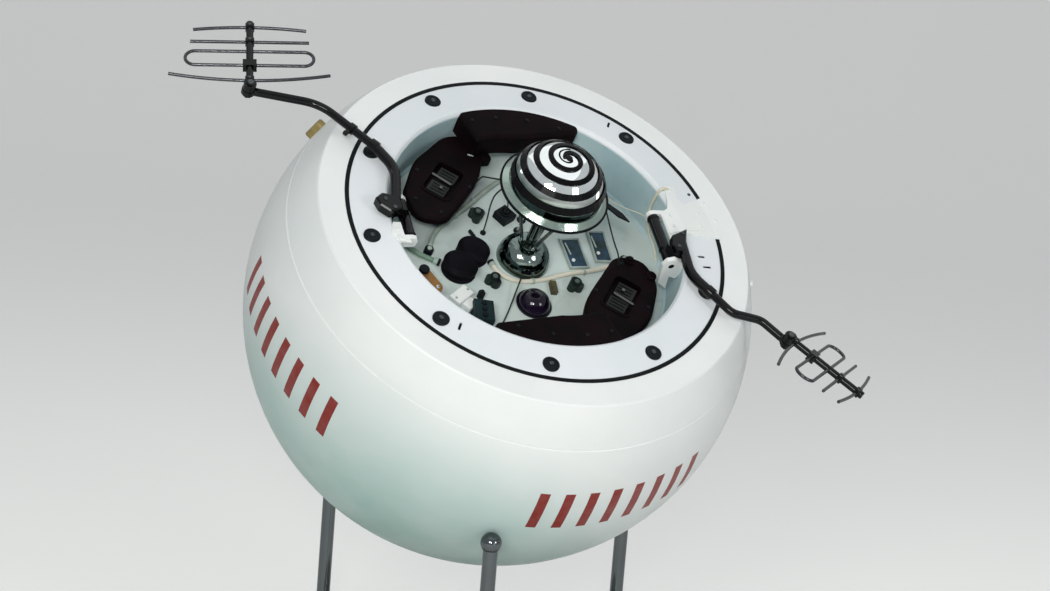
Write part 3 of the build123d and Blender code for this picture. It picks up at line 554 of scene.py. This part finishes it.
def put(name, data):
    """New object in the scene."""
    made = bpy.data.objects.new(name, data)
    bpy.context.scene.collection.objects.link(made)
    return made


def piece(name, form, material, body="capsule", sharp=35):
    """Turns a form into an object that rides on a body; edges over the sharp angle stay crisp."""
    bmesh.ops.remove_doubles(form, verts=form.verts, dist=weld)
    for face in form.faces:
        face.smooth = True
    for edge in form.edges:
        if len(edge.link_faces) == 2 and edge.calc_face_angle() > radians(sharp):
            edge.smooth = False
    mesh = bpy.data.meshes.new(name)
    form.to_mesh(mesh)
    form.free()
    mesh.materials.append(material)
    made = put(name, mesh)
    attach(made, body)


def wire(name, points, radius, material):
    """Thin wire along a smooth curve through the capsule's frame."""
    data = bpy.data.curves.new(name, "CURVE")
    data.dimensions = "3D"
    data.bevel_depth = radius * MM
    data.bevel_resolution = 3
    data.use_fill_caps = True
    data.resolution_u = 8
    line = data.splines.new("NURBS")
    line.points.add(len(points) - 1)
    for point, (x, y, z) in zip(line.points, points):
        point.co = (*spot(x, y, z).translation, 1)
    line.order_u = 3
    line.use_endpoint_u = True
    curve = bpy.data.objects.new(name + "_line", data)
    mesh = bpy.data.meshes.new_from_object(curve)
    bpy.data.objects.remove(curve)
    bpy.data.curves.remove(data)
    form = bmesh.new()
    form.from_mesh(mesh)
    bpy.data.meshes.remove(mesh)
    bmesh.ops.remove_doubles(form, verts=form.verts, dist=weld)
    bmesh.ops.recalc_face_normals(form, faces=form.faces)
    piece(name, form, material, sharp=60)


def hatch_details():
    """Rims and slotted screws on the plugs, black fills in the sunk slots as painted shade, and two
    small screws.
    """
    rims, screws, shade_fills = bmesh.new(), bmesh.new(), bmesh.new()
    for number, angle in enumerate(plug_angles):
        x, y = polar(bolt_circle, angle)
        ring(rims, spot(x, y, plug_top - sink), radius=12.2, width=2.6, height=1.5)
        heading = angle + 35 * number
        screw(screws, spot(x, y, plug_top - sink, heading), radius=4.5, height=2.4)
    # Painted shade: black fills, flush with the face, darken the sunk slots
    slots = ((226, 267, 62, 18), (-222, -248, 62, 18), (317, -82, 0, 16), (321, -107, 0, 19))
    for x, y, heading, length in slots:
        foot = spot(x, y, face_height - 0.9, heading)
        depth = flange_height(x, y) - face_height + 0.4
        block(shade_fills, foot, length - 2, width=4.4, height=depth, round_off=1)
    for x, y, radius in ((346, 82, 3.2), (377, 60, 2.4)):
        screw(screws, spot(x, y, flange_height(x, y) - sink, 20), radius, height=2.2)
    piece("plug_rims", rims, materials["plug_plastic"])
    piece("plug_screws", screws, dark_steel)
    piece("slot_shade_fills", shade_fills, materials["seal_rubber"])


def housing_details():
    """Window lips, screws, cable glands and a small wedge on the black housings."""
    lips, screws, glands, flecks = bmesh.new(), bmesh.new(), bmesh.new(), bmesh.new()
    lobe_screws = ((-74, 226), (-193, 170), (-214, 96), (-170, 62), (-96, 128))
    rail_screws = (66, 80, 94, 105)
    for side in ("left", "right"):
        window = spot(-146, 142, lobe_top - sink, 52, side)
        frame_ring(lips, window, length=96, width=64, corner=15, rim=4, height=1.8)
        for number, (x, y) in enumerate(lobe_screws):
            place = spot(x, y, lobe_top - sink, 40 * number, side)
            screw(screws, place, radius=4, height=2.2)
        for number, angle in enumerate(rail_screws):
            x, y = polar(rail_screw_circle, angle)
            place = spot(x, y, rail_top - sink, 50 * number, side)
            screw(screws, place, radius=4, height=2.2)
    # A gland with its hexagon nut, a second gland below the lobe, and the upper lobe's outlet
    disc(glands, spot(-188, 56, lobe_top - 1, 0, "right"), radius=10, height=6, round_off=1.5)
    nut = spot(-188, 56, lobe_top + 4, 0, "right")
    disc(glands, nut, radius=6.5, height=6, round_off=1.2, sides=6)
    disc(glands, spot(-222, 94, lobe_low, 0, "right"), radius=11, height=26, round_off=2)
    block(glands, spot(-44, 219, lobe_low, 100), length=34, width=22, height=22, round_off=2)
    wedge = spot(-73, 212, lobe_top - 0.2, -15)
    block(flecks, wedge, length=12, width=3.5, height=1.4, round_off=0.4)
    piece("housing_window_lips", lips, materials["housing_plastic"])
    piece("housing_screws", screws, materials["plug_plastic"])
    piece("housing_glands", glands, materials["housing_plastic"])
    piece("housing_fleck", flecks, pale_mark)


def floor_studs(tones):
    """Hexagon studs, caps on the lobed fittings, and the square connector's collar and pins."""
    dark = tones["dark"]
    for x, y in ((-72, -67), (-112, -95), (-153, -44)):
        disc(dark, spot(x, y, floor_foot), radius=7, height=15, round_off=1.5)
        disc(dark, spot(x, y, tub_floor + 14), radius=4, height=5, round_off=1, sides=6)
    lobed_top = tub_floor + 19.6
    for x, y in ((-71, 104), (-78, -60), (88, -72)):
        ring(dark, spot(x, y, lobed_top), radius=8, width=3, height=2)
        disc(tones["dim"], spot(x, y, lobed_top), radius=5, height=2.4, round_off=0.6)
    connector = spot(-13, 103, tub_floor + 17.7)
    ring(dark, connector, radius=10.5, width=3, height=3)
    disc(dark, connector, radius=7, height=5, round_off=1, sides=6)
    for x, y in ((24, 99), (9, 70)):
        disc(tones["bright"], spot(x, y, floor_foot), radius=4.5, height=18, round_off=1)
        ring(dark, spot(x, y, floor_foot), radius=7, width=4, height=5)


def corner_fittings(tones):
    """A second white cover, two bright screws beside it, and the corner unit's three caps."""
    cover = spot(-143, -122, floor_foot, 38)
    block(tones["white"], cover, length=26, width=20, height=17, round_off=1.5)
    for x, y in ((-172, -116), (-145, -96)):
        head = spot(x, y, tub_floor + 24 - sink)
        disc(tones["bright"], head, radius=2.6, height=1.8, round_off=0.5)
    corner_unit = spot(-124, -146, tub_floor + 27.7, 80)
    for along in (-14, 0, 14):
        disc(tones["dark"], corner_unit @ shift(along, 0, 0), radius=5, height=4, round_off=1)


def hose_fittings(tones):
    """Ferrules, fittings and clips of the hoses, and the small parts beside them."""
    dark, pale = tones["dark"], tones["pale"]
    hose_ends = ((-189, 18, -115, 5), (-70, -14, 108, 4.5), (206, -10, 20, 4.5),
                 (-178, -14, -30, 5), (-238, 94, 93, 5))
    for x, y, heading, radius in hose_ends:
        end = lying(x, y, tub_floor + radius, heading)
        disc(pale, end @ shift(0, 0, -9), radius + 1.5, height=10, round_off=0.6)
        disc(dark, end @ shift(0, 0, -1), radius + 3, height=5, round_off=0.6, sides=6)
    for x, y in ((-191, 13), (211, -8)):
        disc(dark, spot(x, y, floor_foot), radius=9, height=14, round_off=1.5)
        disc(pale, spot(x, y, tub_floor + 13), radius=5, height=3, round_off=0.8, sides=6)
    hose_clips = ((-66, 144, 218, 5), (-113, 106, 215, 5), (2, -59, 5, 4.5), (116, -36, 8, 4.5))
    for x, y, heading, radius in hose_clips:
        ring(pale, lying(x, y, tub_floor + radius, heading), radius + 0.8, width=1.6, height=5)
    disc(dark, spot(-66, 64, floor_foot), radius=5.5, height=5, round_off=1)
    block(dark, spot(-90, 59, floor_foot, -69), length=20, width=5, height=7, round_off=1)
    disc(tones["white"], spot(-93, -174, floor_foot), radius=7, height=8, round_off=1)


def valve_fittings(tones):
    """The amber valve's dark cap and bleed screw, and the ring round the sensor's dome."""
    valve_top = tub_floor + 37.7
    disc(tones["dark"], spot(-227, -62, valve_top), radius=10, height=7, round_off=1.5)
    screw(tones["bright"], spot(-209, -102, valve_top, 15), radius=4, height=2.2)
    ring(tones["dark"], spot(-8, -114, tub_floor + 2.6), radius=34, width=3, height=2, sides=40)


def window_fittings(tones):
    """Corner screws on the window frames, and a white stud and a thin pale strip on each pane as
    painted highlights.
    """
    frame_top = 6.8
    pane_top = 3.8
    screw_inset = 2.2
    highlight_turn = Matrix.Rotation(0.1, 4, "Z")
    frames = ((112, 12, 2, 76, 42), (172, 30, -2, 80, 38))
    for x, y, heading, length, width in frames:
        window = spot(x, y, tub_floor, heading)
        for side in (-1, 1):
            for end in (-1, 1):
                corner = shift(side * (width / 2 - screw_inset), end * (length / 2 - screw_inset),
                               frame_top)
                place = window @ corner
                disc(tones["bright"], place, radius=1.3, height=1, round_off=0.3, sides=12)
        # Painted highlights: a white spot and a pale streak on each pane
        highlight_stud = window @ shift(-8, -18, pane_top)
        disc(tones["white"], highlight_stud, radius=3.6, height=3, round_off=0.8)
        clip_and_highlight = window @ shift(-10, 12, pane_top) @ highlight_turn
        block(tones["pale"], clip_and_highlight, length=3, width=30, height=1, round_off=0.3)


def floor_details():
    """Small parts on the compartment floor, gathered in one piece for each finish."""
    finishes = {
        "dark": (materials["plug_plastic"], "plug_plastic"),
        "bright": (bright_steel, "strut_steel"),
        "dim": (dim_mark, "fitting_brass"),
        "pale": (pale_mark, "fitting_brass"),
        "white": (materials["white_plastic"], "white_plastic"),
    }
    tones = {tone: bmesh.new() for tone in finishes}
    floor_studs(tones)
    corner_fittings(tones)
    hose_fittings(tones)
    valve_fittings(tones)
    window_fittings(tones)
    for tone, (material, slot) in finishes.items():
        piece("floor_fittings_" + tone, tones[tone], material)


def wires():
    """Thin sleeved wires that the object holds at both ends."""
    # From under the right bracket's plate over the lip and down the wall
    wire("cable_right_wall",
         ((299, 90, 269.5), (290, 88, 275), (279, 85, 272), (276, 84, 250), (277, 80, 205),
          (281, 63, 183), (283, 45, 175), (286, 19, 174), (286.5, -4, 161)),
         radius=2.6, material=cream_sleeve)
    # From the antenna to the square connector, and to the right bracket's hinge lug
    wire("wire_to_connector",
         ((-62, 44, 351), (-52, 71, 300), (-34, 88, 240), (-17, 95, 200), (-13, 103, 182)),
         radius=1.2, material=lead_sleeve)
    wire("wire_to_right_hinge",
         ((98, 12, 352), (126, 18, 318), (178, 26, 283), (222, 30, 264), (238, 26, 258)),
         radius=0.9, material=cream_sleeve)


def crown_arm():
    """The spiral's second, short arm, between the tape's turns round the crown, and its cap."""
    arm_radius = 3.2
    arm_sink = 1.9      # how far its line runs under the dome's surface, to show as a low ridge
    points = []
    for step in range(10):
        radius = 4 + 2.5 * step
        x, y = polar(radius, -20 - 30 * step)
        points.append((x, y, dome_top - dome_fall * radius ** 2 - arm_sink))
    wire("antenna_crown_arm", points, arm_radius, materials["tape_paint"])
    cap = bmesh.new()
    disc(cap, spot(0, 0, dome_top - 1), radius=6, height=3.4, round_off=1.2, sides=24)
    piece("antenna_crown_cap", cap, materials["plug_plastic"])


def bracket_details():
    """Screws through the foot plates, and the dark bottom of each lug's bore."""
    screws, bores = bmesh.new(), bmesh.new()
    plate_thickness = 2
    plate_screws = {
        # x, y and the number of plates under the screw
        "left": ((-291, -45, 2), (-291, -28, 2)),
        "right": ((-303, -86, 1), (-371, -58, 1), (-383, -14, 1), (-366, 19, 1), (-344, -27, 2),
                  (-340, 4, 2), (-280, -16, 2), (-278, 12, 2)),
    }
    bore_y = {"left": 50.8, "right": 96.8}
    for side, places in plate_screws.items():
        for number, (x, y, layers) in enumerate(places):
            top = flange_height(x, y) + plate_thickness * layers
            screw(screws, spot(x, y, top - sink, 35 * number, side), radius=3.4, height=2.2)
        disc(bores, on_hinge(bore_y[side], side), radius=5.9, height=6.5, round_off=0.5)
    piece("plate_screws", screws, materials["bracket_paint"])
    piece("lug_bores", bores, materials["seal_rubber"])


def boom_details():
    """Bands on each boom's sleeve, a collar on its tube, a clip and the root block's screws."""
    band_places = {"left": (-36, 40), "right": (-17, 60, 86)}
    collars = {"left": (-298, 169, 129), "right": (-293, 186, 120)}
    block_screws = {"left": ((-308, 27), (-294, 7)), "right": ((-277, 47), (-259, 80))}
    block_top = 295
    for side in ("left", "right"):
        bands, screws = bmesh.new(), bmesh.new()
        for y in band_places[side]:
            ring(bands, on_hinge(y, side), radius=11, width=2.4, height=4)
        x, y, heading = collars[side]
        collar = lying(x, y, boom_height, heading, side) @ shift(0, 0, -8)
        disc(bands, collar, radius=11.5, height=16, round_off=1.5, sides=24)
        if side == "left":
            second = lying(-332, 211, boom_height, 129, side) @ shift(0, 0, -6)
            disc(bands, second, radius=10.5, height=12, round_off=1, sides=24)
            clip_and_highlight = spot(-332, 211, boom_height - 4, 219, side) @ shift(15, 0, 0)
            block(bands, clip_and_highlight, length=16, width=9, height=8, round_off=1.5)
        for number, (x, y) in enumerate(block_screws[side]):
            place = spot(x, y, block_top - sink, 60 * number, side)
            screw(screws, place, radius=4, height=2.4)
        piece("boom_bands_" + side, bands, materials["boom_paint"], "boom_" + side)
        piece("boom_screws_" + side, screws, dark_steel, "boom_" + side)


def head_details():
    """Clamps that hold the rods on each mast, the mast's end plug and the pivot's nut."""
    # Each pivot's x and y, the mast's heading and its tip about that heading, in degrees
    heads = {"left": (-516, 300, 80, -12), "right": (-414, 307, 127, -24)}
    # Distance from the pivot, and depth below the mast's axis: the first clears the boom's eye
    clamp_places = ((14, 3), (119, 8.5), (160, 8.5))
    clamp_rise = 8.5
    mast_end = 165.6
    pivot_top = 305
    for side, (x, y, heading, tip) in heads.items():
        clamps, screws = bmesh.new(), bmesh.new()
        mast = spot(x, y, boom_height + mast_lift, heading, side)
        tipped = mast @ turn(tip, "X")
        for along, below in clamp_places:
            block(clamps, tipped @ shift(along, 0, -below), length=11, width=17,
                  height=clamp_rise + below, round_off=1.5)
            place = tipped @ shift(along, 0, clamp_rise - sink)
            disc(screws, place, radius=3.2, height=2.2, round_off=0.5, sides=6)
        plug = mast @ turn(90, "Y") @ shift(0, 0, mast_end)
        disc(clamps, plug, radius=7.5, height=4.8, round_off=1)
        washer = spot(x, y, pivot_top - sink, heading, side)
        disc(clamps, washer, radius=8, height=1.6, round_off=0.4)
        nut = spot(x, y, pivot_top + 1, heading, side)
        disc(screws, nut, radius=6.5, height=4.5, round_off=1, sides=6)
        piece("mast_clamps_" + side, clamps, materials["boom_paint"], "head_" + side)
        piece("mast_screws_" + side, screws, dark_steel, "head_" + side)


def post_details():
    """Washers and hexagon bolts that hold the posts' feet to the base plate."""
    bolts = bmesh.new()
    for heading in post_headings:
        foot_x, foot_y = polar(post_circle, heading)
        for number in range(4):
            angle = 45 + 90 * number + heading
            x, y = polar(foot_bolt_circle, angle)
            place = Matrix.Scale(MM, 4) @ shift(foot_x + x, foot_y + y, foot_top)
            disc(bolts, place @ shift(0, 0, -sink), radius=4, height=1.2)
            disc(bolts, place @ turn(angle, "Z"), radius=3.4, height=4, round_off=0.8, sides=6)
    piece("post_bolts", bolts, bright_steel)


def seen_brighter(tree, plain, extra):
    """A strength that rises by extra where it is seen straight, mirrored or through glass."""
    ray = add(tree, "ShaderNodeLightPath").outputs
    seen = ray["Is Camera Ray"]
    for kind in ("Is Glossy Ray", "Is Transmission Ray"):
        seen = calculate(tree, "MAXIMUM", seen, ray[kind])
    return calculate(tree, "MULTIPLY_ADD", seen, extra, plain)


# The backdrop, in metres: a floor that bends up into a wall well behind the capsule
sweep_width = 40
sweep_front = -16
bend_start = 10
bend_radius = 3
bend_steps = 12
wall_top = 14
sweep_glow = 0.42


def backdrop():
    """Floor that curves up into a wall; its glow is seen, also in mirrors, but lights nothing."""
    form = bmesh.new()
    profile = [(sweep_front, 0)]
    for step in range(bend_steps + 1):
        angle = step * pi / 2 / bend_steps
        profile.append((bend_start + bend_radius * sin(angle),
                        bend_radius - bend_radius * cos(angle)))
    profile.append((bend_start + bend_radius, wall_top))
    verts = [form.verts.new((-sweep_width / 2, y, z)) for y, z in profile]
    edges = [form.edges.new(pair) for pair in zip(verts, verts[1:])]
    moved = bmesh.ops.extrude_edge_only(form, edges=edges)["geom"]
    move_new(form, moved, (sweep_width, 0, 0))
    for face in form.faces:
        face.smooth = True
    mesh = bpy.data.meshes.new("studio_sweep")
    form.to_mesh(mesh)
    form.free()
    sweep = put("studio_sweep", mesh)
    # Matt paper: a plain, faintly clouded ground
    material, tree, shader, place = start("sweep_paper", Roughness=0.9)
    paper = clouds(tree, place, 0.5, "D9DAD8", "CFD0CE", detail=3, most=0.2)
    tree.links.new(paper, shader.inputs["Base Color"])
    shader.inputs["Emission Color"].default_value = hex_colour("F4F5F4")
    tree.links.new(seen_brighter(tree, 0.0, sweep_glow), shader.inputs["Emission Strength"])
    mesh.materials.append(material)


def lamp(name, place, aim, size, power, colour="FFFFFF"):
    """Square soft lamp, of a size in metres and a power in watts."""
    data = bpy.data.lights.new(name, "AREA")
    data.size = size
    data.energy = power
    data.color = hex_colour(colour)[:3]
    made = put(name, data)
    made.location = place
    made.rotation_euler = (Vector(aim) - Vector(place)).to_track_quat("-Z", "Y").to_euler()
    made.visible_camera = False


hatch_details()
housing_details()
floor_details()
wires()
crown_arm()
bracket_details()
boom_details()
head_details()
post_details()

backdrop()
warm_white = "FFFDF8"
flash_white = "FFFDFB"
hull_middle = (0, 0, 0.8)
antenna_aim = (0, 0, 1.1)
lamp("ceiling_lamp", (0.2, -0.4, 4.6), (0.2, -0.4, 0), size=6.0, power=62)
lamp("key_lamp", (-1.7, -5.4, 2.4), hull_middle, size=1.5, power=110, colour=warm_white)
# Flash beside the camera: reaches into the compartment and leaves the hull's edges darker
lamp("flash_lamp", (-0.35, -4.5, 1.8), (0, 0, 0.9), size=0.4, power=50, colour=flash_white)
lamp("fill_lamp", (3.0, -3.2, 1.7), hull_middle, size=1.0, power=36, colour=flash_white)
# Small square lamps that glint in the chrome and the lacquer
lamp("glint_left", (-3.3, 0.3, 3.3), antenna_aim, size=0.7, power=6)
lamp("glint_right", (3.4, 0.9, 1.1), antenna_aim, size=0.6, power=4)
lamp("glint_low", (1.9, -3.6, 0.6), antenna_aim, size=0.35, power=3)

# The room: a cool light from all round, seen brighter than it shines
room_light = 0.22
room_seen = 0.45
world = bpy.data.worlds.new("studio")
world.use_nodes = True
room = world.node_tree.nodes["Background"]
room.inputs["Color"].default_value = hex_colour("E4EAEE")
room_strength = seen_brighter(world.node_tree, room_light, room_seen)
world.node_tree.links.new(room_strength, room.inputs["Strength"])
bpy.context.scene.world = world
bpy.context.scene.view_settings.view_transform = "Standard"

camera_data = bpy.data.cameras.new("camera")
camera_data.lens = camera_focal
camera_data.sensor_width = sensor_width
camera = put("camera", camera_data)
view_turn = (camera_aim - camera_place).to_track_quat("-Z", "Y").to_matrix().to_4x4()
roll = Matrix.Rotation(camera_roll, 4, "Z")
camera.matrix_world = Matrix.Translation(camera_place) @ view_turn @ roll
bpy.context.scene.camera = camera
